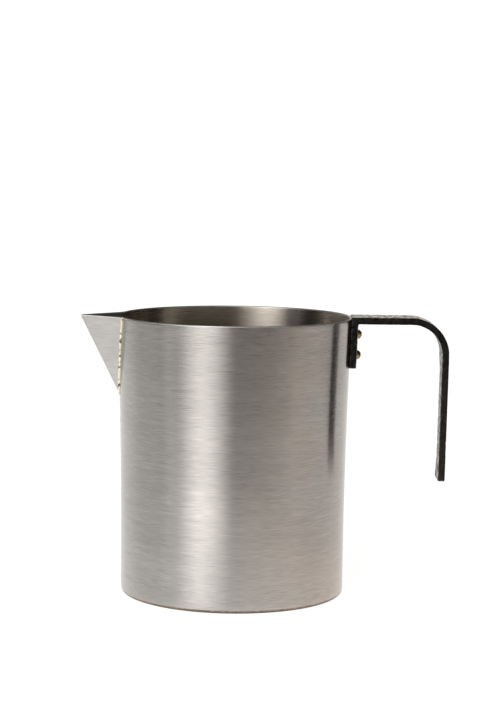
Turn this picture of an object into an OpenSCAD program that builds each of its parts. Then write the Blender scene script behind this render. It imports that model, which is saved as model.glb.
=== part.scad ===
// Sheet-steel pouring pot for melting candle wax. A flared wall stands on a
// round base disc, a folded V-shaped spout is brazed into a notch in the wall,
// and a flat forged handle bar is held to the wall by two domed rivets.
// The origin is the centre of the underside. +Z is up, the handle reaches
// along +X and the spout along -X. All sizes are millimetres.

/* [Pot] */
// Height of the rim above the underside
pot_height = 135; // [110:1:170]
// Outer radius of the wall just above the base
foot_radius = 54.2; // [46:0.2:66]
// How far the wall leans in on its way up
wall_lean = 0.5; // [0:0.1:1.5]
// How far the wall flares out again by the rim
rim_flare = 2.9; // [1:0.1:5]
// Thickness of the sheet steel
sheet = 1.1; // [0.8:0.1:1.5]
// Outer radius of the corner between wall and base
corner_radius = 2.5; // [2:0.1:4]

/* [Spout] */
// Reach of the spout's tip from the pot's axis
tip_reach = 74.9; // [71:0.1:82]
// Depth of the spout below the rim
spout_depth = 39.5; // [28:0.5:46]
// Half of the angle that the spout takes up on the rim
spout_half_angle = 16; // [12:0.5:20]
// Angle between the spout and the line through the handle
spout_turn = 3; // [0:0.5:5]

/* [Braze] */
// Width of the bead where the spout meets the wall
bead = 1; // [0.6:0.1:1.4]
// Thickness of the braze between the wall and the base disc
base_gap = 0.6; // [0.4:0.1:0.8]
// Width of the brazed seam that closes the wall
seam_width = 0.8; // [0.5:0.1:1.2]
// How far the seam stands proud of the wall
seam_proud = 0.2; // [0.1:0.05:0.4]

/* [Handle] */
// Reach of the handle from the pot's axis
handle_reach = 103.2; // [96:0.2:112]
// Width of the flat handle bar
bar_width = 18; // [14:1:22]
// Thickness of the handle bar
bar = 3.3; // [2.5:0.1:4]
// Height of the bar's top face above the rim
bar_rise = 0.4; // [0.1:0.1:1]
// Outer radius of the bend between bar and grip
bend_radius = 18; // [12:1:20]
// Drop of the grip's free end below the rim
grip_drop = 78.7; // [60:0.2:90]
// Angle by which the grip leans in towards the pot
grip_lean = 0.8; // [0:0.1:3]
// Radius of the grip's bottom corners
grip_corner = 1; // [1:0.5:4]
// Drop of the riveted tab's end below the rim
tab_drop = 24.4; // [22:0.1:30]
// Radius of the tab's bottom corners
tab_corner = 1.5; // [1:0.5:6]

/* [Rivets] */
// Drop of the upper rivet below the rim
rivet_drop = 8.2; // [7:0.1:9]
// Distance between the two rivets
rivet_pitch = 10; // [8:0.5:11]
// Radius of the rivet shanks
shank_radius = 1.5; // [1:0.1:1.8]
// Radius of the domed heads outside
head_radius = 2.5; // [2:0.1:3]
// Height of the domed heads outside
head_height = 2; // [1:0.1:2]
// Radius of the hammered heads inside
tail_radius = 2.3; // [2:0.1:2.6]
// Height of the hammered heads inside
tail_height = 0.8; // [0.5:0.1:1]

/* [Hidden] */
$fn = 96;

wall_steps = 12;
corner_steps = 5;
wall_foot = sheet + base_gap;
rim_round = sheet / 2;
clear = 5;

// Outer radius of the pot at height z, without the rounded bottom corner
function flank_r(z) = foot_radius - wall_lean * z / pot_height
    + rim_flare * pow(z / pot_height, 2);

// How far the rounded bottom corner pulls the outline in at height z
function corner_in(z) = z >= corner_radius ? 0
    : corner_radius - sqrt(pow(corner_radius, 2) - pow(corner_radius - z, 2));

function outer_r(z) = flank_r(z) - corner_in(z);

// Heights at which every revolved outline has its points
levels = concat(
    [for (i = [0 : corner_steps - 1]) corner_radius * (1 - cos(90 * i / corner_steps))],
    [for (i = [0 : wall_steps])
        corner_radius + (pot_height - rim_round - corner_radius) * i / wall_steps],
    [pot_height, pot_height + clear]);

// The pot's outline from height z0 up to z1, grown outwards by grow
function outline(z0, z1, grow = 0) =
    [for (z = concat([z0], [for (l = levels) if (l > z0 && l < z1) l], [z1]))
        [outer_r(z) + grow, z]];

function reversed(list) = [for (i = [len(list) - 1 : -1 : 0]) list[i]];

// Solid inside the pot's outline, from just under the spout to above the rim
core_start = levels[corner_steps + 4];
module core(grow) {
    rotate_extrude()
        polygon(concat([[0, core_start]],
                       outline(core_start, pot_height + clear, grow),
                       [[0, pot_height + clear]]));
}

// The spout is folded about a keel that rises from the wall to the tip
keel_lean = atan((tip_reach - outer_r(pot_height - spout_depth)) / spout_depth);
join_reach = outer_r(pot_height) * cos(spout_half_angle);
join_half_width = outer_r(pot_height) * sin(spout_half_angle);
panel_slope = join_half_width / (tip_reach - join_reach);
fold_half_angle = atan(panel_slope / cos(keel_lean));
fold_reach = 32;
keel_length = spout_depth / cos(keel_lean) + clear;

// Wedge between the spout's two panels, moved inwards by inset
module fold_wedge(inset) {
    rotate([0, 0, spout_turn])
        translate([-tip_reach, 0, pot_height])
        rotate([0, -keel_lean, 0])
        translate([inset / sin(fold_half_angle), 0, -keel_length])
        linear_extrude(2 * keel_length)
        polygon([[0, 0],
                 [fold_reach, fold_reach * tan(fold_half_angle)],
                 [fold_reach, -fold_reach * tan(fold_half_angle)]]);
}

module above_rim() {
    translate([-2 * tip_reach, -tip_reach, pot_height])
        cube([4 * tip_reach, 2 * tip_reach, 4 * clear + tip_reach]);
}

// Upright slot for the wall's seam, ending where the spout's braze begins
module seam_zone() {
    difference() {
        rotate([0, 0, spout_turn])
            translate([-foot_radius - rim_flare - clear, -seam_width / 2, wall_foot])
            cube([rim_flare + 3 * clear, seam_width, pot_height]);
        fold_wedge(-bead);
    }
}

module body_wall() {
    color("silver")
    difference() {
        union() {
            rotate_extrude()
                polygon(concat(outline(wall_foot, pot_height - rim_round),
                               reversed(outline(wall_foot, pot_height - rim_round, -sheet))));
            rotate_extrude()
                translate([outer_r(pot_height - rim_round) - rim_round,
                           pot_height - rim_round])
                circle(rim_round);
        }
        fold_wedge(sheet);
        seam_zone();
        rivet_holes();
    }
}

module wall_seam() {
    color("darkkhaki")
    intersection() {
        rotate_extrude()
            polygon(concat(outline(wall_foot, pot_height - rim_round, seam_proud),
                           reversed(outline(wall_foot, pot_height - rim_round, -sheet))));
        seam_zone();
    }
}

module base_disc() {
    color("gainsboro")
    rotate_extrude()
        polygon(concat([[0, 0]], outline(0, sheet), [[0, sheet]]));
}

// Ring of braze between the wall's foot and the disc, with a fillet inside
module base_braze() {
    inner = outer_r(wall_foot) - sheet;
    color("rosybrown")
    rotate_extrude()
        polygon(concat([[inner - base_gap, sheet]],
                       outline(sheet, wall_foot),
                       [[inner, wall_foot]]));
}

module spout() {
    color("lightgray")
    difference() {
        fold_wedge(0);
        fold_wedge(sheet);
        core(0);
        above_rim();
    }
}

// Bead that follows the outer joint between the spout's panels and the wall
module spout_braze() {
    color("burlywood")
    difference() {
        intersection() {
            fold_wedge(-bead);
            core(bead);
        }
        fold_wedge(0);
        core(0);
        above_rim();
    }
}

bar_start = foot_radius - clear;
bend_x = handle_reach - bend_radius;
bend_z = pot_height + bar_rise - bend_radius;

// Flat plate of the bar's width that hangs down from z = 0, with two round
// bottom corners, and is as thick as depth along +X
module hanging_plate(length, corner, depth) {
    rotate([90, 0, 90])
        linear_extrude(depth)
        union() {
            translate([-bar_width / 2, corner - length])
                square([bar_width, length - corner]);
            translate([corner - bar_width / 2, -length])
                square([bar_width - 2 * corner, length]);
            for (side = [-1, 1])
                translate([side * (bar_width / 2 - corner), corner - length])
                    circle(corner);
        }
}

// Side view of all that lies within radius r of the bend and under the level
// bar and the grip that run on from it, reaching past their ends by spare
module under_bar(r, spare) {
    translate([bend_x, bend_z]) {
        translate([bar_start - bend_x - spare, -spare])
            square([bend_x - bar_start + spare, r + spare]);
        rotate(-grip_lean) {
            circle(r);
            translate([-spare, -grip_drop - spare])
                square([r + spare, grip_drop + spare]);
        }
    }
}

module handle_bar() {
    color("#2d2a28")
    difference() {
        union() {
            intersection() {
                core(bar);
                translate([bar_start, 0, pot_height + bar_rise - bar / 2])
                    hanging_plate(tab_drop + bar_rise - bar / 2, tab_corner, 3 * clear);
            }
            intersection() {
                translate([0, bar_width, 0])
                    rotate([90, 0, 0])
                    linear_extrude(2 * bar_width)
                    difference() {
                        under_bar(bend_radius, 0);
                        under_bar(bend_radius - bar, 2 * bend_radius);
                    }
                translate([bar_start, 0, pot_height + clear])
                    hanging_plate(grip_drop + clear, grip_corner, handle_reach);
            }
        }
        core(0);
        rivet_holes();
    }
}

// The rivets stand square to the wall, which leans out towards the rim
tab_lean = atan((outer_r(pot_height) - outer_r(pot_height - tab_drop)) / tab_drop);

// Places its children on the wall's outer face, with +Z pointing outwards
module on_tab(drop) {
    translate([outer_r(pot_height - drop), 0, pot_height - drop])
        rotate([0, 90 + tab_lean, 0])
        children();
}

module rivet_holes() {
    for (drop = [rivet_drop, rivet_drop + rivet_pitch])
        on_tab(drop)
            translate([0, 0, -clear])
            cylinder(r = shank_radius, h = 2 * clear + bar);
}

// Spherical cap with its flat side at z = 0, extended below by a short skirt
module dome(radius, height) {
    ball = (pow(radius, 2) + pow(height, 2)) / (2 * height);
    skirt = sheet / 2;
    intersection() {
        translate([0, 0, height - ball])
            sphere(ball);
        cylinder(r = radius, h = height);
    }
    translate([0, 0, -skirt])
        cylinder(r = radius, h = skirt);
}

module rivet(drop) {
    color("goldenrod")
    union() {
        difference() {
            on_tab(drop) {
                translate([0, 0, bar])
                    dome(head_radius, head_height);
                translate([0, 0, -sheet])
                    rotate([180, 0, 0])
                    dome(tail_radius, tail_height);
            }
            difference() {
                core(bar);
                core(-sheet);
            }
        }
        on_tab(drop)
            translate([0, 0, -sheet - tail_height / 2])
            cylinder(r = shank_radius, h = sheet + bar + tail_height);
    }
}

module rivet_upper() rivet(rivet_drop);
module rivet_lower() rivet(rivet_drop + rivet_pitch);

body_wall();
wall_seam();
base_disc();
base_braze();
spout();
spout_braze();
handle_bar();
rivet_upper();
rivet_lower();
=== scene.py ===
import math

import bmesh
import bpy
import numpy as np
from mathutils import Euler, Matrix, Vector, noise


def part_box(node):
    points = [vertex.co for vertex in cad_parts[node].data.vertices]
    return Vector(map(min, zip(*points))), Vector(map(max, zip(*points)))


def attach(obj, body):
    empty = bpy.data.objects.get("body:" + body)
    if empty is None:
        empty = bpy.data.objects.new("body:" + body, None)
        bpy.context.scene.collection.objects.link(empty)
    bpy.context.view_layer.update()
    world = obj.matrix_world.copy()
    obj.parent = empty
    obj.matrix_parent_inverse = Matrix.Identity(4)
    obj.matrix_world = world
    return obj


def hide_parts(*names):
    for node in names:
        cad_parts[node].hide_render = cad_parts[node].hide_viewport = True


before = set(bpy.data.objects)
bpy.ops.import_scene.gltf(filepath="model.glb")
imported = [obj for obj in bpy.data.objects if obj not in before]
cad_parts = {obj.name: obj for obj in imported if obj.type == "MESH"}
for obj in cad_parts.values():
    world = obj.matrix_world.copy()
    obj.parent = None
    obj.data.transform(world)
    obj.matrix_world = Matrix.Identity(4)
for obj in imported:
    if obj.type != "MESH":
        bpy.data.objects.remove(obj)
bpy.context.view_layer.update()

MM = 0.001

# ---------------------------------------------------------------- sizes

# Pot, as the CAD has it
FOOT_R = 54.2 * MM
WALL_LEAN = 0.5 * MM
RIM_FLARE = 2.9 * MM
CORNER_R = 2.5 * MM

# Spout, as the CAD has it
SPOUT_TURN = math.radians(3)
SPOUT_HALF_ANGLE = math.radians(16)
SPOUT_DEPTH = 39.5 * MM

# Handle bar, as the CAD has it
BAR = 3.3 * MM
BEND_R = 18 * MM
GRIP_LEAN = math.radians(0.8)
GRIP_CORNER = 1 * MM
TAB_CORNER = 1.5 * MM
TAB_DROP = 24.4 * MM

# Rivets, as the CAD has them
HEAD_R = 2.5 * MM
HEAD_H = 2.0 * MM
TAIL_R = 2.3 * MM
TAIL_H = 0.8 * MM
SHANK_R = 1.5 * MM

# Depth of the dents in the sheet, and of the waves in the rims of pot and spout
DENT = 0.05 * MM
RIM_WAVE = 0.06 * MM
LIP_WAVE = 0.05 * MM
# How uneven the spout's panels are, and how far they sink in on average
PANEL_UNEVEN = 0.22 * MM
PANEL_SINK = 0.2 * MM
# How much further out than the spout's inside the notch in the wall is cut
NOTCH_GAP = 0.15 * MM
# Radii of the spout's fold, outside and inside
FOLD_R = 0.35 * MM
INNER_FOLD_R = 0.3 * MM
# How far the spout's outer and inner faces reach into the wall
OUTER_EMBED = 0.35 * MM
INNER_EMBED = 0.2 * MM
# Half width and half height of the braze bead, and its extra height at the foot
BEAD_W = 0.78 * MM
BEAD_H = 0.52 * MM
FOOT_SWELL = 0.35 * MM
# Reach of the painted reflection beside the braze, on the wall and on the spout
WALL_REFLECTION_REACH = 3.2 * MM
SPOUT_REFLECTION_REACH = 2.4 * MM
# Half width of the wall's seam and how far it stands proud
SEAM_W = 0.42 * MM
SEAM_PROUD = 0.09 * MM
# Unevenness of the bottom's upper face, and how far its edge stays inside the outline
BASE_UNEVEN = 0.05 * MM
BASE_INSET = 0.02 * MM
# Width of the braze that ran in between bottom and wall, and depth of its grain
FILLET = 0.6 * MM
FILLET_GRAIN = 0.03 * MM
# Radii of the bend between tab and bar, outside and inside
ELBOW_OUT = 1.0 * MM
ELBOW_IN = 0.6 * MM
# Rounding of the bar's long edges and of its two ends
BAR_EDGE = 0.28 * MM
BAR_LIP = 0.2 * MM
# Length over which the bar leaves the curve of the wall after the tab
HUG_FADE = 12 * MM
# How much thinner the grip is along its far edge
THIN_FAR = 0.5 * MM
# Depth of the hammer marks, and how many there are in a metre
HAMMER_DEPTH = 0.17 * MM
HAMMER_MARKS = 280
# How far a rivet's head is pressed into the tab, and depth of the dents in its domes
HEAD_SINK = 0.2 * MM
RIVET_DENT = 0.05 * MM
# Radius of the pinhole at the pole of a revolved piece
POLE = 0.01 * MM

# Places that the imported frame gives
wall_low, wall_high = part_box("body_wall")
disc_low, disc_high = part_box("base_disc")
spout_low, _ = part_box("spout")
bar_low, bar_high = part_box("handle_bar")
RIM_Z = wall_high.z
FOOT_Z = wall_low.z
SHEET = disc_high.z - disc_low.z
TIP_R = -spout_low.x / math.cos(SPOUT_TURN)
BAR_W = bar_high.y - bar_low.y
BAR_TOP = bar_high.z
REACH = bar_high.x
GRIP_END = bar_low.z
BRAZE_LOW = RIM_Z - SPOUT_DEPTH + 1.0 * MM
SEAM_TOP = BRAZE_LOW - 0.4 * MM
SPOUT_LOW = RIM_Z - SPOUT_DEPTH + 0.6 * MM


def outer_r(z):
    """Radius of the pot's outside at height z."""
    t = z / RIM_Z
    r = FOOT_R - WALL_LEAN * t + RIM_FLARE * t * t
    if z < CORNER_R:
        r -= CORNER_R - math.sqrt(CORNER_R ** 2 - (CORNER_R - z) ** 2)
    return r


# Slope of the spout's keel, slope of its panels in plan, and inset of the fold's inside
KEEL_TAN = (TIP_R - outer_r(RIM_Z - SPOUT_DEPTH)) / SPOUT_DEPTH
PANEL_SLOPE = (outer_r(RIM_Z) * math.sin(SPOUT_HALF_ANGLE)
               / (TIP_R - outer_r(RIM_Z) * math.cos(SPOUT_HALF_ANGLE)))
PANEL_ANGLE = math.atan(PANEL_SLOPE)
KEEL_COS = math.cos(math.atan(KEEL_TAN))
FOLD_SIN = math.sin(math.atan(PANEL_SLOPE / KEEL_COS))
FOLD_INSET = SHEET / (FOLD_SIN * KEEL_COS)


def keel_r(z):
    """Reach of the spout's outer fold at height z."""
    return TIP_R - (RIM_Z - z) * KEEL_TAN


def join_angle(r, reach):
    """Angle at which a spout panel whose fold is at reach meets radius r."""
    if reach <= r:
        return 0.0
    s = PANEL_SLOPE * reach / (r * math.hypot(1, PANEL_SLOPE))
    return math.asin(min(1.0, s)) - PANEL_ANGLE


def at(r, angle, z):
    """Point at an angle from the spout's direction, towards -Y."""
    a = angle + SPOUT_TURN
    return Vector((-r * math.cos(a), -r * math.sin(a), z))


def turned(x, y, z):
    """Point given in the spout's own plan, x along the spout and y towards -Y."""
    c, s = math.cos(SPOUT_TURN), math.sin(SPOUT_TURN)
    return Vector((-x * c + y * s, -x * s - y * c, z))


def smooth(x, low, high):
    """0 below low, 1 above high, with an S-curve between."""
    t = min(1.0, max(0.0, (x - low) / (high - low)))
    return t * t * (3 - 2 * t)


# ---------------------------------------------------------------- mesh help

def add_piece(name, verts, faces, nodes, materials, sharp=40, merge=None):
    """Makes a mesh piece, rides it on the body and hides the CAD parts it stands for."""
    mesh = bpy.data.meshes.new(name)
    mesh.from_pydata([tuple(v) for v in verts], [], faces)
    mesh.validate()
    if merge:
        bm = bmesh.new()
        bm.from_mesh(mesh)
        bmesh.ops.remove_doubles(bm, verts=bm.verts, dist=merge)
        bmesh.ops.recalc_face_normals(bm, faces=bm.faces)
        bm.to_mesh(mesh)
        bm.free()
    mesh.shade_smooth()
    mesh.set_sharp_from_angle(angle=math.radians(sharp))
    for m in materials:
        mesh.materials.append(m)
    obj = bpy.data.objects.new(name, mesh)
    bpy.context.scene.collection.objects.link(obj)
    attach(obj, "root")
    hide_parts(*nodes)
    return obj


def skin(rings):
    """Joins closed rings of equal length into a tube, with a fan on each end."""
    n = len(rings[0])
    verts = [p for ring in rings for p in ring]
    faces = []
    for i in range(len(rings) - 1):
        for j in range(n):
            k = (j + 1) % n
            faces.append((i * n + j, i * n + k, (i + 1) * n + k, (i + 1) * n + j))
    for base in (0, (len(rings) - 1) * n):
        verts.append(sum((verts[base + j] for j in range(n)), Vector()) / n)
        c = len(verts) - 1
        for j in range(n):
            k = (j + 1) % n
            faces.append((base + k, base + j, c) if base == 0 else (base + j, base + k, c))
    return verts, faces


def revolve(profile, segments, place):
    """Turns a closed (radius, height) profile about the axis; place maps to space."""
    rings = []
    for i in range(segments):
        a = 2 * math.pi * i / segments
        rings.append([place(r, a, h) for r, h in profile])
    n = len(profile)
    verts = [p for ring in rings for p in ring]
    faces = []
    for i in range(segments):
        b = (i + 1) % segments
        for j in range(n):
            k = (j + 1) % n
            faces.append((i * n + j, b * n + j, b * n + k, i * n + k))
    return verts, faces


def set_attribute(obj, name, values):
    """Stores one value per vertex for the materials to read."""
    layer = obj.data.attributes.new(name, "FLOAT", "POINT")
    layer.data.foreach_set("value", np.asarray(values, dtype=np.float32))


# ---------------------------------------------------------------- materials

class Nodes:
    """Short way to write a material's node tree."""

    def __init__(self, name):
        """Makes a material and finds its shader."""
        self.mat = bpy.data.materials.new(name)
        self.mat.use_nodes = True
        self.tree = self.mat.node_tree
        self.shader = self.tree.nodes["Principled BSDF"]

    def add(self, kind, inputs=None, **settings):
        """Adds a node with its settings and inputs."""
        node = self.tree.nodes.new("ShaderNode" + kind)
        for key, value in settings.items():
            setattr(node, key, value)
        for key, value in (inputs or {}).items():
            self.put(node, key, value)
        return node

    def put(self, node, key, value):
        """Links a socket to an input, or sets the input to a plain value."""
        if isinstance(value, bpy.types.NodeSocket):
            self.tree.links.new(value, node.inputs[key])
        else:
            node.inputs[key].default_value = value

    def set(self, **values):
        """Sets or links the shader's own sockets."""
        for key, value in values.items():
            self.put(self.shader, key.replace("_", " "), value)

    def noise(self, vector, scale, detail=4.0, rough=0.55):
        return self.add("TexNoise", {"Vector": vector, "Scale": scale,
                                     "Detail": detail, "Roughness": rough}).outputs["Fac"]

    def stretched(self, vector, scale):
        return self.add("Mapping", {"Vector": vector, "Scale": scale}).outputs["Vector"]

    def ramp(self, fac, *stops):
        """Colour ramp; each stop is a place from 0 to 1 and a colour."""
        node = self.add("ValToRGB", {"Fac": fac})
        while len(node.color_ramp.elements) < len(stops):
            node.color_ramp.elements.new(0.5)
        for element, (pos, colour) in zip(node.color_ramp.elements, stops):
            element.position = pos
            element.color = (*colour, 1)
        return node.outputs["Color"]

    def span(self, value, low, high, to_low, to_high):
        return self.add("MapRange", {"Value": value, "From Min": low, "From Max": high,
                                     "To Min": to_low, "To Max": to_high}).outputs["Result"]

    def mix(self, fac, a, b, blend="MIX"):
        node = self.add("Mix", data_type="RGBA", blend_type=blend)
        self.put(node, 0, fac)
        self.put(node, 6, a)
        self.put(node, 7, b)
        return node.outputs[2]

    def math(self, op, a, b):
        node = self.add("Math", operation=op)
        self.put(node, 0, a)
        self.put(node, 1, b)
        return node.outputs[0]

    def blend(self, a, b, share):
        """a and b added up, with the given share of b."""
        return self.math("ADD", self.math("MULTIPLY", a, 1 - share),
                         self.math("MULTIPLY", b, share))


# Brushed lines and broader bands in a metre of height
FINE_LINES = 5500
BROAD_LINES = 480
# Colour factors of the steel by the foot, a painted reflection of the floor that lightens it
# there, and by the handle, and its colour beside the braze
FLOOR_REFLECTION_GAIN = (1.10, 1.10, 1.10, 1)
TARNISH = (1.08, 0.985, 0.92, 1)
# Painted reflection: dark warm colour beside the braze, for the braze and spout mirrored in the
# steel
JOINT_REFLECTION_COLOUR = (0.30, 0.26, 0.235, 1)


def brushed(name, light, dark, rough, aniso, streak, turn=0.25, tarnish=0.0,
            line_depth=0.02 * MM):
    """Steel with fine lines brushed round the Z axis, stronger towards the rim.

    streak is how many times in a metre a line changes along its length, turn is the
    direction of the shine, and tarnish sets how much warmer the side by the handle is.
    """
    n = Nodes(name)
    coord = n.add("TexCoord").outputs["Object"]
    fine = n.noise(n.stretched(coord, (streak, streak, FINE_LINES)), 1.0, 1.0, 0.5)
    broad = n.noise(n.stretched(coord, (0.2 * streak, 0.2 * streak, BROAD_LINES)), 1.0, 1.0, 0.4)
    cloud = n.noise(n.stretched(coord, (26, 26, 40)), 1.0, 3.0, 0.5)
    place = n.add("SeparateXYZ", {"Vector": coord}).outputs
    gain = n.span(place["Z"], 0.86 * RIM_Z, RIM_Z, 1.0, 1.4)
    lines = n.math("SUBTRACT", n.blend(fine, broad, 0.2), 0.5)
    lines = n.math("ADD", n.math("MULTIPLY", lines, gain), 0.5)
    tone = n.blend(lines, cloud, 0.25)
    middle = tuple((a + b) / 2 for a, b in zip(dark, light))
    colour = n.ramp(tone, (0.23, dark), (0.5, middle), (0.69, light))
    # Painted reflection: the steel is made lighter towards the foot, where it mirrors the white
    # floor
    foot = n.span(place["Z"], 0.0, 0.4 * RIM_Z, 1.0, 0.0)
    colour = n.mix(foot, colour, FLOOR_REFLECTION_GAIN, "MULTIPLY")
    side = n.span(place["X"], 0.0, 0.5 * FOOT_R, 0.0, tarnish)
    blotch = n.span(n.noise(coord, 30.0, 3.0), 0.35, 0.65, 0.3, 1.0)
    colour = n.mix(n.math("MULTIPLY", side, blotch), colour, TARNISH, "MULTIPLY")
    # Painted reflection: beside the braze the colour turns dark and warm, for the braze and spout
    # mirrored in the steel
    heat = n.add("Attribute", attribute_name="heat").outputs["Fac"]
    colour = n.mix(heat, colour, JOINT_REFLECTION_COLOUR)
    bump = n.add("Bump", {"Height": lines, "Strength": 0.08, "Distance": line_depth})
    tangent = n.add("Tangent", direction_type="RADIAL", axis="Z")
    n.set(Base_Color=colour, Metallic=1.0, Anisotropic=aniso, Anisotropic_Rotation=turn,
          Tangent=tangent.outputs["Tangent"], Normal=bump.outputs["Normal"],
          Roughness=n.span(tone, 0.3, 0.7, rough * 0.95, rough * 1.06))
    return n.mat


def forged():
    """Blackened iron with shiny specks, browner where the wear attribute is set."""
    n = Nodes("forged_black")
    coord = n.add("TexCoord").outputs["Object"]
    scale = n.noise(coord, 260.0, 6.0, 0.65)
    drawn = n.noise(n.stretched(coord, (160, 900, 160)), 1.0, 4.0, 0.6)
    tone = n.blend(scale, drawn, 0.5)
    black = n.ramp(tone, (0.38, (0.0045, 0.0035, 0.003)), (0.62, (0.011, 0.009, 0.0075)))
    held = n.ramp(tone, (0.36, (0.011, 0.007, 0.004)), (0.64, (0.028, 0.019, 0.012)))
    wear = n.add("Attribute", attribute_name="wear").outputs["Fac"]
    grain = n.noise(n.stretched(coord, (420, 700, 420)), 1.0, 3.0, 0.6)
    speck = n.ramp(grain, (0.40, (0, 0, 0)), (0.55, (1, 1, 1)))
    relief = n.blend(tone, speck, 0.5)
    bump = n.add("Bump", {"Height": relief, "Strength": 0.9, "Distance": 0.12 * MM})
    n.set(Base_Color=n.mix(wear, black, held), Normal=bump.outputs["Normal"],
          Roughness=n.span(speck, 0.0, 1.0, 0.46, 0.18),
          Specular_IOR_Level=n.math("MULTIPLY", n.math("ADD", speck, 0.5), 0.17))
    return n.mat


PIT_COLOUR = (0.16, 0.11, 0.06, 1)


def brass(name, bright, dull, rough):
    """Brass alloy with tarnish, and dark pits where the pit attribute is set."""
    n = Nodes(name)
    coord = n.add("TexCoord").outputs["Object"]
    tarnish = n.noise(coord, 900.0, 5.0, 0.6)
    grain = n.noise(coord, 3500.0, 3.0, 0.6)
    colour = n.ramp(tarnish, (0.38, dull), (0.60, bright))
    pit = n.add("Attribute", attribute_name="pit").outputs["Fac"]
    colour = n.mix(pit, colour, PIT_COLOUR)
    bump = n.add("Bump", {"Height": grain, "Strength": 0.3, "Distance": 0.05 * MM})
    n.set(Base_Color=colour, Metallic=1.0, Normal=bump.outputs["Normal"],
          Roughness=n.span(tarnish, 0.3, 0.7, rough * 1.25, rough * 0.85))
    return n.mat


STEEL_LIGHT = (0.555, 0.528, 0.500)
STEEL_DARK = (0.300, 0.284, 0.268)

wall_outside = brushed("steel_wall_outside", STEEL_LIGHT, STEEL_DARK,
                       rough=0.28, aniso=1.0, streak=150, tarnish=1.0)
wall_inside = brushed("steel_wall_inside", (0.71, 0.645, 0.56), (0.41, 0.365, 0.31),
                      rough=0.28, aniso=1.0, streak=110)
# Painted highlight: the rims of pot and spout get a far lighter steel than the wall, so that they
# show as a bright line
rim_steel_highlight = brushed("steel_rim_painted_highlight", (0.96, 0.94, 0.92), (0.86, 0.84, 0.82),
                    rough=0.42, aniso=0.0, streak=60, line_depth=0.01 * MM)
spout_steel = brushed("steel_spout", (0.61, 0.583, 0.562), (0.432, 0.413, 0.398),
                      rough=0.33, aniso=0.7, streak=160, turn=0.0)
base_steel = brushed("steel_base", STEEL_LIGHT, STEEL_DARK, rough=0.34, aniso=0.6, streak=110)
# Painted shade: the bottom's outer edge gets a dark brown steel that stands for the shadow line
# where the pot meets the floor
base_edge_shade = brushed("steel_base_edge_painted_shade", (0.15, 0.115, 0.095), (0.08, 0.06, 0.05),
                    rough=0.40, aniso=0.0, streak=110)
forged_black = forged()
braze_metal = brass("braze_alloy", (0.99, 0.94, 0.78), (0.88, 0.76, 0.52), rough=0.42)
base_braze_metal = brass("base_braze_alloy", (0.34, 0.26, 0.20), (0.20, 0.14, 0.10), rough=0.4)
rivet_brass = brass("rivet_brass", (0.47, 0.34, 0.165), (0.27, 0.175, 0.075), rough=0.26)


# ---------------------------------------------------------------- braze path

def braze_point(t):
    """Point on the outer joint of spout and wall: t from -1 (far) to 1 (near)."""
    z = BRAZE_LOW + (RIM_Z - BRAZE_LOW) * abs(t)
    a = join_angle(outer_r(z), keel_r(z))
    return at(outer_r(z), math.copysign(a, t), z)


braze_line = np.array([braze_point(t) for t in np.linspace(-1, 1, 121)])


def joint_reflection_at(points, reach):
    """Strength of the painted reflection beside the braze: 1 at the brazed joint, falling to 0 at
    reach from it.
    """
    pts = np.asarray(points)
    out = np.zeros(len(pts))
    by_spout = (pts[:, 0] < -0.8 * FOOT_R) & (pts[:, 2] > RIM_Z - 1.4 * SPOUT_DEPTH)
    for i in np.where(by_spout)[0]:
        out[i] = max(0.0, 1 - np.sqrt(((braze_line - pts[i]) ** 2).sum(1).min()) / reach)
    return out ** 1.5


# ---------------------------------------------------------------- wall

def dent(p):
    """Handmade unevenness of the sheet, never outside the true surface."""
    n = 0.75 * noise.noise(p * 24) + 0.25 * noise.noise(p * 70)
    return DENT * (n - 1)


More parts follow.
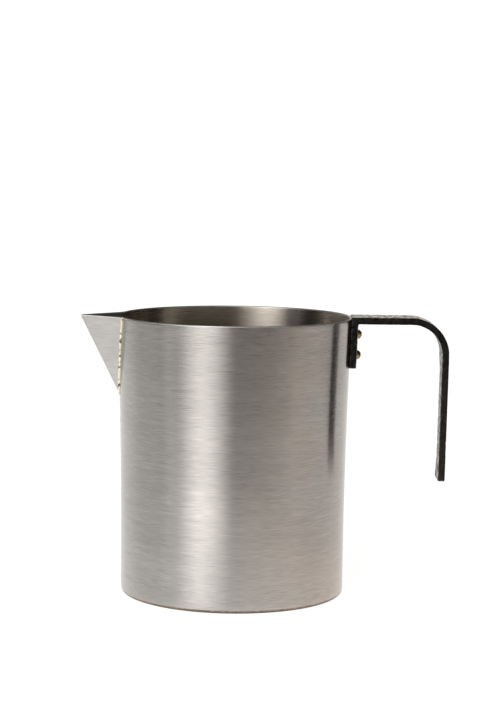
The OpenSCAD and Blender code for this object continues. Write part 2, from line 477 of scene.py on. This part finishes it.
def make_wall():
    """Flared wall with a rounded rim, open at the notch for the spout."""
    columns, low_rows, high_rows, arc = 300, 60, 44, 6
    rim_round = SHEET / 2
    top = RIM_Z - rim_round

    def fold_reach(z):
        return keel_r(z) - FOLD_INSET + NOTCH_GAP

    def notch_floor(radius):
        """Height at which the notch starts on the face with this radius."""
        low, high = RIM_Z - 1.2 * SPOUT_DEPTH, top
        for _ in range(40):
            mid = (low + high) / 2
            if fold_reach(mid) > radius(mid):
                high = mid
            else:
                low = mid
        return high

    def side(radius):
        floor = notch_floor(radius)
        zs = [FOOT_Z + (floor - FOOT_Z) * (i / low_rows) for i in range(low_rows)]
        zs += [floor + (top - floor) * i / high_rows for i in range(high_rows + 1)]
        return [(radius(z), z) for z in zs]

    outside = side(outer_r)
    inside = side(lambda z: outer_r(z) - SHEET)
    mid_r = outer_r(top) - rim_round
    rim = [(mid_r + rim_round * math.cos(math.pi * i / arc),
            top + rim_round * math.sin(math.pi * i / arc)) for i in range(1, arc)]
    profile = outside + rim + inside[::-1]
    count, rows = len(profile), len(outside)

    verts = []
    for c in range(columns + 1):
        for k, (r, z) in enumerate(profile):
            below_notch = k <= low_rows or k >= count - 1 - low_rows
            a = 0.0 if below_notch else join_angle(r, fold_reach(z))
            angle = a + (2 * math.pi - 2 * a) * c / columns
            p = at(r, angle, z)
            wave = RIM_WAVE * (noise.noise(Vector((p.x, p.y, 0)) * 38) - 1)
            z_shift = wave * (z / RIM_Z) ** 12
            verts.append(at(r + dent(at(outer_r(z), angle, z)), angle, z + z_shift))
    faces = []
    for c in range(columns):
        for k in range(count):
            m = (k + 1) % count
            faces.append((c * count + k, (c + 1) * count + k, (c + 1) * count + m,
                          c * count + m))
    for c in (0, columns):
        base = c * count
        for k in range(low_rows, rows - 1):
            m = count - 1 - k
            quad = (base + k, base + k + 1, base + m - 1, base + m)
            faces.append(quad if c == 0 else quad[::-1])
        cap = tuple(base + k for k in range(rows - 1, count - rows + 1))
        faces.append(cap if c == 0 else cap[::-1])
    obj = add_piece("pot_wall", verts, faces, ["body_wall"],
                    [wall_outside, wall_inside, rim_steel_highlight], 30, merge=1e-7)
    inside_slot, rim_highlight_slot = 1, 2
    mesh = obj.data
    for poly in mesh.polygons:
        c = poly.center
        r = math.hypot(c.x, c.y)
        faces_axis = poly.normal.x * c.x + poly.normal.y * c.y < 0
        # Painted highlight: the rounded rim takes the light rim steel
        if c.z > top - 0.1 * MM:
            poly.material_index = rim_highlight_slot
        elif r < outer_r(c.z) - 0.6 * SHEET and faces_axis:
            poly.material_index = inside_slot
    # Painted reflection beside the braze, on the wall
    set_attribute(obj, "heat", 0.75 * joint_reflection_at([v.co for v in mesh.vertices], WALL_REFLECTION_REACH))


# ---------------------------------------------------------------- spout

def spout_path(fold, wall_r, fold_radius, arm_steps=14, arc_steps=8):
    """Plan of one face of the folded sheet at one height, from near joint to far.

    The fold's point would be at radius fold, and the face meets the wall at wall_r.
    """
    a = join_angle(wall_r, fold)
    joint = (wall_r * math.cos(a), wall_r * math.sin(a))
    arm = math.hypot(fold - joint[0], joint[1])
    cut = min(fold_radius / math.tan(PANEL_ANGLE), 0.8 * arm)
    radius = cut * math.tan(PANEL_ANGLE)
    start = (fold - cut * math.cos(PANEL_ANGLE), cut * math.sin(PANEL_ANGLE))
    centre = fold - radius / math.sin(PANEL_ANGLE)
    near = []
    for i in range(arm_steps):
        t = i / arm_steps
        near.append((joint[0] + (start[0] - joint[0]) * t,
                     joint[1] + (start[1] - joint[1]) * t))
    spread = math.pi / 2 - PANEL_ANGLE
    bend = []
    for i in range(arc_steps + 1):
        g = spread * (1 - 2 * i / arc_steps)
        bend.append((centre + radius * math.cos(g), radius * math.sin(g)))
    return near + bend + [(x, -y) for x, y in near[::-1]]


def make_spout():
    """Folded sheet of the spout, open at the wall, with a rounded lip."""
    rows, arc = 54, 6
    lip = SHEET / 2
    top = RIM_Z - lip
    outer_rows, inner_rows = [], []
    for i in range(rows + 1):
        z = SPOUT_LOW + (top - SPOUT_LOW) * i / rows
        outer_wall, inner_wall = outer_r(z) - OUTER_EMBED, outer_r(z) - INNER_EMBED
        inner_fold = max(keel_r(z) - FOLD_INSET, inner_wall)
        outer_rows.append((z, spout_path(keel_r(z), outer_wall, FOLD_R)))
        inner_rows.append((z, spout_path(inner_fold, inner_wall, INNER_FOLD_R)))
    top_out = spout_path(keel_r(RIM_Z), outer_r(RIM_Z) - OUTER_EMBED, FOLD_R)
    top_in = spout_path(keel_r(RIM_Z) - FOLD_INSET, outer_r(RIM_Z) - INNER_EMBED, INNER_FOLD_R)
    lip_rows = []
    for i in range(1, arc):
        g = math.pi * i / arc
        s = (1 - math.cos(g)) / 2
        lip_rows.append((top + lip * math.sin(g),
                         [(a[0] + (b[0] - a[0]) * s, a[1] + (b[1] - a[1]) * s)
                          for a, b in zip(top_out, top_in)]))
    profile_rows = outer_rows + lip_rows + inner_rows[::-1]
    count = len(profile_rows[0][1])
    verts = []
    for z, path in profile_rows:
        for j, (x, y) in enumerate(path):
            p = turned(x, y, z)
            u = j / (count - 1)
            arm = math.sin(math.pi * min(1.0, 2 * min(u, 1 - u)))
            sag = (PANEL_UNEVEN * noise.noise(p * 55) - PANEL_SINK) * arm
            side = 1 if y > 0 else -1
            q = turned(x + sag * math.sin(PANEL_ANGLE), y + side * sag * math.cos(PANEL_ANGLE), z)
            wave = LIP_WAVE * (noise.noise(p * 60) - 1) * smooth(z, RIM_Z - 3 * MM, RIM_Z)
            verts.append(q + Vector((0, 0, wave)))
    total = len(profile_rows)
    faces = []
    for i in range(total):
        k = (i + 1) % total
        for j in range(count - 1):
            faces.append((i * count + j, i * count + j + 1, k * count + j + 1, k * count + j))
    for j in (0, count - 1):
        for i in range(rows):
            m = total - 1 - i
            quad = (i * count + j, (i + 1) * count + j, (m - 1) * count + j, m * count + j)
            faces.append(quad if j == 0 else quad[::-1])
        cap = tuple(i * count + j for i in range(rows, total - rows))
        faces.append(cap if j == 0 else cap[::-1])
    obj = add_piece("spout_sheet", verts, faces, ["spout"],
                    [spout_steel, rim_steel_highlight], 35, merge=1e-8)
    rim_highlight_slot = 1
    for poly in obj.data.polygons:
        # Painted highlight: the rounded lip takes the light rim steel
        if poly.center.z > top - 0.05 * MM:
            poly.material_index = rim_highlight_slot
    # Painted reflection beside the braze, on the spout
    set_attribute(obj, "heat", 0.6 * joint_reflection_at([v.co for v in obj.data.vertices], SPOUT_REFLECTION_REACH))


# ---------------------------------------------------------------- braze

def panel_normal(side):
    """Outward normal of a spout panel: side is 1 for the near one and -1 for the far one."""
    tip = turned(TIP_R, 0, RIM_Z)
    foot = turned(keel_r(RIM_Z - SPOUT_DEPTH), 0, RIM_Z - SPOUT_DEPTH)
    joint = at(outer_r(RIM_Z), side * SPOUT_HALF_ANGLE, RIM_Z)
    n = (joint - tip).cross(foot - tip).normalized()
    out = turned(0, side, 0)
    return n if n.dot(out) > 0 else -n


def make_spout_braze():
    """Lumpy, pitted bead along the joint of spout and wall."""
    rings, steps, around = [], 300, 18
    normals = {1: panel_normal(1), -1: panel_normal(-1)}
    pits = []
    for i in range(steps + 1):
        t = -1 + 2 * i / steps
        p = braze_point(t)
        ahead = braze_point(min(1, t + 0.01)) - braze_point(max(-1, t - 0.01))
        share = smooth(t, -0.08, 0.08)
        out = normals[1] * share + normals[-1] * (1 - share)
        wall_out = Vector((p.x, p.y, 0)).normalized()
        p += wall_out * (FOOT_SWELL * (1 - smooth(abs(t), 0.0, 0.6)))
        up = (out.normalized() + wall_out).normalized()
        ahead = ahead.normalized()
        across = ahead.cross(up).normalized()
        end = smooth(1 - abs(t), 0.0, 0.02)
        lump = 1 + 0.35 * noise.noise(p * 260) + 0.18 * noise.noise(p * 700)
        ring = []
        for j in range(around):
            g = 2 * math.pi * j / around
            q = p + across * (BEAD_W * math.cos(g)) + up * (BEAD_H * math.sin(g))
            rough = 1 + 0.16 * noise.noise(q * 1500)
            hole = smooth(noise.noise(q * 620 + Vector((3.1, 0, 7.7))), 0.32, 0.5)
            size = lump * rough * (1 - 0.35 * hole) * (0.55 + 0.45 * end)
            ring.append(p + (q - p) * size)
            pits.append(hole)
        rings.append(ring)
    top = RIM_Z - 0.05 * MM
    rings = [[Vector((q.x, q.y, min(q.z, top))) for q in ring] for ring in rings]
    verts, faces = skin(rings)
    obj = add_piece("spout_braze_bead", verts, faces, ["spout_braze"],
                    [braze_metal], 60)
    set_attribute(obj, "pit", pits + [0.0, 0.0])


def make_wall_seam():
    """Brazed seam that closes the wall, below the spout."""
    rings, steps, around = [], 150, 14
    pits = []
    for i in range(steps + 1):
        z = FOOT_Z + (SEAM_TOP - FOOT_Z) * i / steps
        r = outer_r(z) - SHEET / 2
        ring = []
        for j in range(around):
            g = 2 * math.pi * j / around
            p = at(r, 0, z)
            wide = SEAM_W * (1 + 0.3 * noise.noise(p * 300) + 0.1 * noise.noise(p * 900))
            deep = SHEET / 2 + SEAM_PROUD * (1 + 0.5 * noise.noise(p * 240))
            dr, da = deep * math.cos(g), wide * math.sin(g) / r
            ring.append(at(r + dr, da, z))
            pits.append(smooth(noise.noise(ring[-1] * 800), 0.35, 0.55))
        rings.append(ring)
    verts, faces = skin(rings)
    obj = add_piece("wall_seam_braze", verts, faces, ["wall_seam"],
                    [braze_metal], 60)
    set_attribute(obj, "pit", pits + [0.0, 0.0])


# ---------------------------------------------------------------- base

def corner_points(low, high, steps):
    """Points along the pot's outline from one height to another."""
    return [(outer_r(low + (high - low) * i / steps), low + (high - low) * i / steps)
            for i in range(steps + 1)]


def make_base():
    """Bottom disc, slightly uneven on its upper face, with a painted shadow line on its outer
    edge.
    """
    edge = corner_points(0.0, SHEET, 8)
    flat = [r * MM for r in (2, 6, 14, 24, 34, 42, 48)]
    profile = ([(POLE, 0.0)] + [(r, 0.0) for r in flat] + edge
               + [(r, SHEET) for r in flat[::-1]] + [(POLE, SHEET)])

    def place(r, a, h):
        p = at(r, a, h)
        lift = BASE_UNEVEN * (1 + noise.noise(p * 30)) if h > 0.5 * SHEET else 0.0
        return at(r - BASE_INSET, a, h + lift * smooth(FOOT_R - r, 2 * MM, 8 * MM))

    verts, faces = revolve(profile, 180, place)
    obj = add_piece("pot_base", verts, faces, ["base_disc"],
                    [base_steel, base_edge_shade], 40)
    # Painted shade: the outer edge of the bottom takes the dark material, as the shadow line at
    # the floor
    shaded_edge_slot = 1
    for poly in obj.data.polygons:
        c = poly.center
        if 0 < c.z < SHEET and math.hypot(c.x, c.y) > outer_r(0) - CORNER_R:
            poly.material_index = shaded_edge_slot


def make_base_braze():
    """Ring of braze between the bottom disc and the wall."""
    inner = outer_r(FOOT_Z) - SHEET
    ring = corner_points(SHEET, FOOT_Z, 4)
    profile = ring + [(inner, FOOT_Z), (inner - 0.5 * FILLET, (FOOT_Z + SHEET) / 2),
                      (inner - FILLET, SHEET)]

    def place(r, a, h):
        p = at(r, a, h)
        return at(r - FILLET_GRAIN * (1 - noise.noise(p * 260)), a, h)

    verts, faces = revolve(profile, 320, place)
    obj = add_piece("base_braze_ring", verts, faces, ["base_braze"],
                    [base_braze_metal], 50)
    set_attribute(obj, "pit", [0.6 * smooth(noise.noise(v.co * 420), 0.2, 0.5)
                               for v in obj.data.vertices])


# ---------------------------------------------------------------- handle

def handle_stations():
    """(outer point, inner point, distance) along the bar, from tab end to grip end.

    The outer point lies on the convex side and the inner one on the concave side.
    """
    step, elbow_steps = 0.55 * MM, 6
    z_under = BAR_TOP - BAR
    pairs = []
    tab_end = RIM_Z - TAB_DROP
    tab_top = BAR_TOP - ELBOW_OUT
    count = round((tab_top - tab_end) / step)
    for i in range(count + 1):
        t = i / count
        zo = tab_end + (tab_top - tab_end) * t
        zi = tab_end + (z_under - ELBOW_IN - tab_end) * t
        pairs.append(((outer_r(zo), zo), (outer_r(zi) + BAR, zi)))
    xo, xi = outer_r(tab_top), outer_r(z_under) + BAR
    for i in range(1, elbow_steps + 1):
        g = math.pi - math.pi / 2 * i / elbow_steps
        pairs.append(((xo + ELBOW_OUT + ELBOW_OUT * math.cos(g),
                       tab_top + ELBOW_OUT * math.sin(g)),
                      (xi + ELBOW_IN + ELBOW_IN * math.cos(g),
                       z_under - ELBOW_IN + ELBOW_IN * math.sin(g))))
    bend_x, bend_z = REACH - BEND_R, BAR_TOP - BEND_R
    start_out, start_in = xo + ELBOW_OUT, xi + ELBOW_IN
    count = round((bend_x - start_in) / step)
    for i in range(1, count + 1):
        t = i / count
        pairs.append(((start_out + (bend_x - start_out) * t, BAR_TOP),
                      (start_in + (bend_x - start_in) * t, z_under)))
    sweep = math.pi / 2 + GRIP_LEAN
    count = round(BEND_R * sweep / step)
    for i in range(1, count + 1):
        g = math.pi / 2 - sweep * i / count
        pairs.append(tuple((bend_x + r * math.cos(g), bend_z + r * math.sin(g))
                           for r in (BEND_R, BEND_R - BAR)))
    (ox, oz), (ix, iz) = pairs[-1]
    down = (-math.sin(GRIP_LEAN), -math.cos(GRIP_LEAN))
    length = (iz - GRIP_END) / math.cos(GRIP_LEAN) - BAR * math.tan(GRIP_LEAN)
    count = round(length / step)
    for i in range(1, count + 1):
        d = length * i / count
        pairs.append(((ox + down[0] * d, oz + down[1] * d), (ix + down[0] * d, iz + down[1] * d)))
    run, out = 0.0, []
    last = None
    for o, i in pairs:
        mid = Vector(((o[0] + i[0]) / 2, (o[1] + i[1]) / 2))
        run += (mid - last).length if last is not None else 0.0
        last = mid
        out.append((o, i, run))
    return out


def bar_section(half_w, thick, edge, wide_steps=22, thin_steps=4, round_steps=3):
    """Rounded rectangle as (across, depth) points; depth 0 is the convex face."""
    pts = []
    corners = [(half_w - edge, thick - edge, 0), (-half_w + edge, thick - edge, 90),
               (-half_w + edge, edge, 180), (half_w - edge, edge, 270)]
    for index, (cy, cn, start) in enumerate(corners):
        for i in range(round_steps + 1):
            g = math.radians(start + 90 * i / round_steps)
            pts.append((cy + edge * math.cos(g), cn + edge * math.sin(g)))
        nxt = corners[(index + 1) % 4]
        g = math.radians(nxt[2])
        end = (nxt[0] + edge * math.cos(g), nxt[1] + edge * math.sin(g))
        first = pts[-1]
        steps = wide_steps if index % 2 == 0 else thin_steps
        for i in range(1, steps):
            t = i / steps
            pts.append((first[0] + (end[0] - first[0]) * t, first[1] + (end[1] - first[1]) * t))
    return pts


def hammer(p):
    """Depth of the hammer marks at a point, in metres, 0 or less."""
    distances, _ = noise.voronoi(p * HAMMER_MARKS)
    dish = max(0.0, 1 - 2.2 * distances[0])
    return -HAMMER_DEPTH * dish + 0.025 * MM * (noise.noise(p * 500) - 1)


def end_inset(d, radius):
    """How far a rounded end pulls in at distance d from the end."""
    if d >= radius:
        return 0.0
    return radius - math.sqrt(max(0.0, radius ** 2 - (radius - d) ** 2))


def make_handle():
    """Hammered flat bar: its tab hugs the wall, and its grip thins towards the far side."""
    stations = handle_stations()
    total = stations[-1][2]
    tab_run = TAB_DROP + 2 * MM
    face = 0.9
    rings, wear = [], []
    for o, i, run in stations:
        d0, d1 = run, total - run
        corner = end_inset(d0, TAB_CORNER) + end_inset(d1, GRIP_CORNER)
        rim = end_inset(min(d0, d1) + 0.02 * MM, BAR_LIP)
        out, inn = Vector((o[0], 0, o[1])), Vector((i[0], 0, i[1]))
        thick = (inn - out).length
        depth = (inn - out).normalized()
        section = bar_section(BAR_W / 2 - corner - rim, thick - 2 * rim, BAR_EDGE)
        side_face = face * (1 - corner * 2 / BAR_W)
        hug = 1 - smooth(run, tab_run, tab_run + HUG_FADE)
        grip = smooth(run, 0.55 * total, 0.62 * total) * smooth(d1, 0, 0.08 * total)
        ring = []
        for y, n in section:
            p = out + depth * (n + rim) + Vector((0, y, 0))
            flat_n = (n / max(thick - 2 * rim, 1e-9)) * 2 - 1
            flat_y = y / (BAR_W / 2)
            push = depth * (flat_n if abs(flat_n) > face else 0)
            push.y += flat_y if abs(flat_y) > side_face else 0
            mark = hammer(p)
            if flat_n > 0:
                p = p - depth * (THIN_FAR * grip * max(0.0, flat_y))
            if push.length > 0:
                p = p + push.normalized() * mark
            sag = hug * (outer_r(RIM_Z) - math.sqrt(outer_r(RIM_Z) ** 2 - y * y))
            ring.append(p - Vector((sag, 0, 0)))
        rings.append(ring)
        wear += [smooth(run, 0.5 * total, 0.9 * total)] * len(ring)
    verts, faces = skin(rings)
    obj = add_piece("handle_strap", verts, faces, ["handle_bar"],
                    [forged_black], 50)
    set_attribute(obj, "wear", wear + [0.0, 1.0])


# ---------------------------------------------------------------- rivets

def make_rivet(node, name, seed):
    """Domed brass rivet through tab and wall; seed varies its wobble."""
    low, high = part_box(node)
    z = (low.z + high.z) / 2
    lean = math.atan((outer_r(RIM_Z) - outer_r(RIM_Z - TAB_DROP)) / TAB_DROP)
    out = Vector((math.cos(lean), 0, -math.sin(lean)))
    up = Vector((math.sin(lean), 0, math.cos(lean)))
    across = Vector((0, 1, 0))
    root = Vector((outer_r(z), 0, z))

    def cap(radius, height, steps):
        """Points of a dome, from its pole down to its edge."""
        ball = (radius ** 2 + height ** 2) / (2 * height)
        spread = math.asin(min(1.0, radius / ball))
        if height > ball:
            spread = math.pi - spread
        return [(ball * math.sin(spread * i / steps),
                 height - ball + ball * math.cos(spread * i / steps))
                for i in range(steps + 1)]

    head = [(r, BAR + h) for r, h in cap(HEAD_R, HEAD_H, 16)]
    head[0] = (POLE, head[0][1])
    neck = [(HEAD_R, BAR - HEAD_SINK), (SHANK_R, BAR - HEAD_SINK), (SHANK_R, -SHEET),
            (TAIL_R, -SHEET + 0.1 * MM)]
    tail = [(r, -SHEET - h) for r, h in cap(TAIL_R, TAIL_H, 8)[::-1]]
    tail[-1] = (POLE, tail[-1][1])
    profile = head + neck + tail

    def place(r, a, h):
        spoke = (up * math.cos(a) + across * math.sin(a)) * r
        p = root + out * h + spoke
        wobble = 1 - 0.035 * (1 - noise.noise(p * 420 + Vector((seed, 0, 0))))
        sink = RIVET_DENT * (1 - noise.noise(p * 700))
        if h > BAR:
            h -= sink
        elif h < -SHEET:
            h += sink
        return root + out * h + spoke * wobble

    verts, faces = revolve(profile, 64, place)
    obj = add_piece(name, verts, faces, [node], [rivet_brass], 50)
    set_attribute(obj, "pit", [0.7 * smooth(noise.noise(v.co * 900), 0.3, 0.55)
                               for v in obj.data.vertices])


make_wall()
make_wall_seam()
make_base()
make_base_braze()
make_spout()
make_spout_braze()
make_handle()
make_rivet("rivet_upper", "rivet_dome_upper", 0.0)
make_rivet("rivet_lower", "rivet_dome_lower", 5.0)


# ---------------------------------------------------------------- stage

# Half width of the floor and its edges in front of and behind the pot, in metres
FLOOR_HALF = 1.6
FLOOR_FRONT = -0.235
FLOOR_BACK = 2.0
# How white the floor is and how strongly it glows
FLOOR_WHITE = 0.85
FLOOR_GLOW = 0.90

# Camera: place in metres, turns down, right and about its axis in radians, and the
# width of its sensor and its focal length in millimetres
CAMERA_AT = (0, -1.026, 0.2268)
CAMERA_DOWN = 0.1102
CAMERA_RIGHT = 0.0026
CAMERA_ROLL = 0.0133
SENSOR = 36
LENS = 106.555

# Brightness of the white that the camera sees behind the pot
BACKDROP = 1.05
WHITE = (1, 1, 1)
WARM = (1.09, 1.0, 0.90)

# Soft lights: power, azimuth and elevation as (centre, full, zero) in degrees, colour
LIGHTS = [
    # Key light left of the camera, at the pot's height and above
    (2.4, (-27, 4, 30), (-1, 6, 16), WHITE),
    (1.9, (-37, 4, 24), (14, 4, 18), WHITE),
    # Light on the left edge
    (0.9, (-60, 4, 22), (0, 6, 14), WHITE),
    # Wide fill from the front, and a light behind the pot that shows along its edges
    (0.5, (10, 52, 76), (0, 6, 14), WARM),
    (1.6, (180, 10, 24), (0, 8, 20), WARM),
    # Weak light behind on the left
    (0.4, (-135, 10, 30), (3, 6, 14), WHITE),
    # High light for the near rim
    (1.5, (-30, 8, 30), (42, 10, 24), WHITE),
    # Faint light all round, and a soft one overhead
    (0.04, (0, 180, 181), (0, 90, 91), WHITE),
    (0.2, (0, 180, 181), (90, 15, 35), WHITE),
]


def floor_white():
    """White floor that glows a little, so that it stays pale under the soft lights."""
    n = Nodes("floor_white")
    n.set(Base_Color=(FLOOR_WHITE, FLOOR_WHITE, FLOOR_WHITE, 1), Roughness=0.8,
          Specular_IOR_Level=0.1, Emission_Color=(1, 1, 1, 1), Emission_Strength=FLOOR_GLOW)
    return n.mat


def make_floor():
    mesh = bpy.data.meshes.new("floor")
    mesh.from_pydata([(-FLOOR_HALF, FLOOR_FRONT, 0), (FLOOR_HALF, FLOOR_FRONT, 0),
                      (FLOOR_HALF, FLOOR_BACK, 0), (-FLOOR_HALF, FLOOR_BACK, 0)],
                     [], [(0, 1, 2, 3)])
    mesh.materials.append(floor_white())
    obj = bpy.data.objects.new("floor", mesh)
    bpy.context.scene.collection.objects.link(obj)


class Studio:
    """Soft lights painted on the world, each a smooth patch of the sky.

    Azimuths are in degrees from the camera's side, positive to +X; elevations
    are in degrees above the floor.
    """

    def __init__(self):
        world = bpy.data.worlds.new("studio")
        world.use_nodes = True
        self.tree = world.node_tree
        self.tree.nodes.clear()
        split = self.node("SeparateXYZ")
        coord = self.node("TexCoord")
        self.tree.links.new(coord.outputs["Generated"], split.inputs[0])
        back = self.math("MULTIPLY", split.outputs["Y"], -1.0)
        self.azimuth = self.math("ARCTAN2", split.outputs["X"], back)
        self.elevation = self.math("ARCSINE", split.outputs["Z"], 0.0)
        self.total = None
        bpy.context.scene.world = world

    def node(self, kind, **settings):
        node = self.tree.nodes.new("ShaderNode" + kind)
        for key, value in settings.items():
            setattr(node, key, value)
        return node

    def math(self, op, *values):
        node = self.node("Math", operation=op)
        for i, value in enumerate(values):
            if isinstance(value, bpy.types.NodeSocket):
                self.tree.links.new(value, node.inputs[i])
            else:
                node.inputs[i].default_value = value
        return node.outputs[0]

    def window(self, offset, full, zero):
        """1 while offset is under full, falling smoothly to 0 at zero."""
        node = self.node("MapRange", interpolation_type="SMOOTHSTEP")
        self.tree.links.new(self.math("ABSOLUTE", offset), node.inputs["Value"])
        node.inputs["From Min"].default_value = math.radians(zero)
        node.inputs["From Max"].default_value = math.radians(full)
        return node.outputs["Result"]

    def add(self, power, azimuth, elevation, colour):
        """Adds a patch; azimuth and elevation are (centre, full, zero) in degrees."""
        middle, full, zero = azimuth
        turn = self.math("SUBTRACT", self.azimuth, math.radians(middle))
        turn = self.math("WRAP", turn, math.pi, -math.pi)
        across = self.window(turn, full, zero)
        middle, full, zero = elevation
        lift = self.math("SUBTRACT", self.elevation, math.radians(middle))
        level = self.math("MULTIPLY", across, self.window(lift, full, zero))
        patch = self.node("VectorMath", operation="SCALE")
        patch.inputs[0].default_value = [power * c for c in colour]
        self.tree.links.new(level, patch.inputs["Scale"])
        if self.total is None:
            self.total = patch.outputs[0]
        else:
            both = self.node("VectorMath", operation="ADD")
            self.tree.links.new(self.total, both.inputs[0])
            self.tree.links.new(patch.outputs[0], both.inputs[1])
            self.total = both.outputs[0]

    def finish(self):
        """Lights the scene with the patches; the camera itself sees plain white."""
        studio = self.node("Background")
        self.tree.links.new(self.total, studio.inputs["Color"])
        white = self.node("Background")
        white.inputs["Color"].default_value = (1, 1, 1, 1)
        white.inputs["Strength"].default_value = BACKDROP
        path, mix, out = self.node("LightPath"), self.node("MixShader"), self.node("OutputWorld")
        self.tree.links.new(path.outputs["Is Camera Ray"], mix.inputs["Fac"])
        self.tree.links.new(studio.outputs[0], mix.inputs[1])
        self.tree.links.new(white.outputs[0], mix.inputs[2])
        self.tree.links.new(mix.outputs[0], out.inputs["Surface"])


def make_world():
    studio = Studio()
    for light in LIGHTS:
        studio.add(*light)
    studio.finish()


def make_camera():
    data = bpy.data.cameras.new("camera")
    data.sensor_width = SENSOR
    data.lens = LENS
    data.clip_start, data.clip_end = 0.01, 50
    cam = bpy.data.objects.new("camera", data)
    aim = Euler((math.pi / 2 - CAMERA_DOWN, 0, -CAMERA_RIGHT)).to_matrix()
    turn = aim @ Matrix.Rotation(CAMERA_ROLL, 3, "Z")
    cam.matrix_world = Matrix.Translation(CAMERA_AT) @ turn.to_4x4()
    bpy.context.scene.collection.objects.link(cam)
    bpy.context.scene.camera = cam


make_floor()
make_world()
make_camera()
view = bpy.context.scene.view_settings
view.view_transform = "Standard"
view.look = "None"
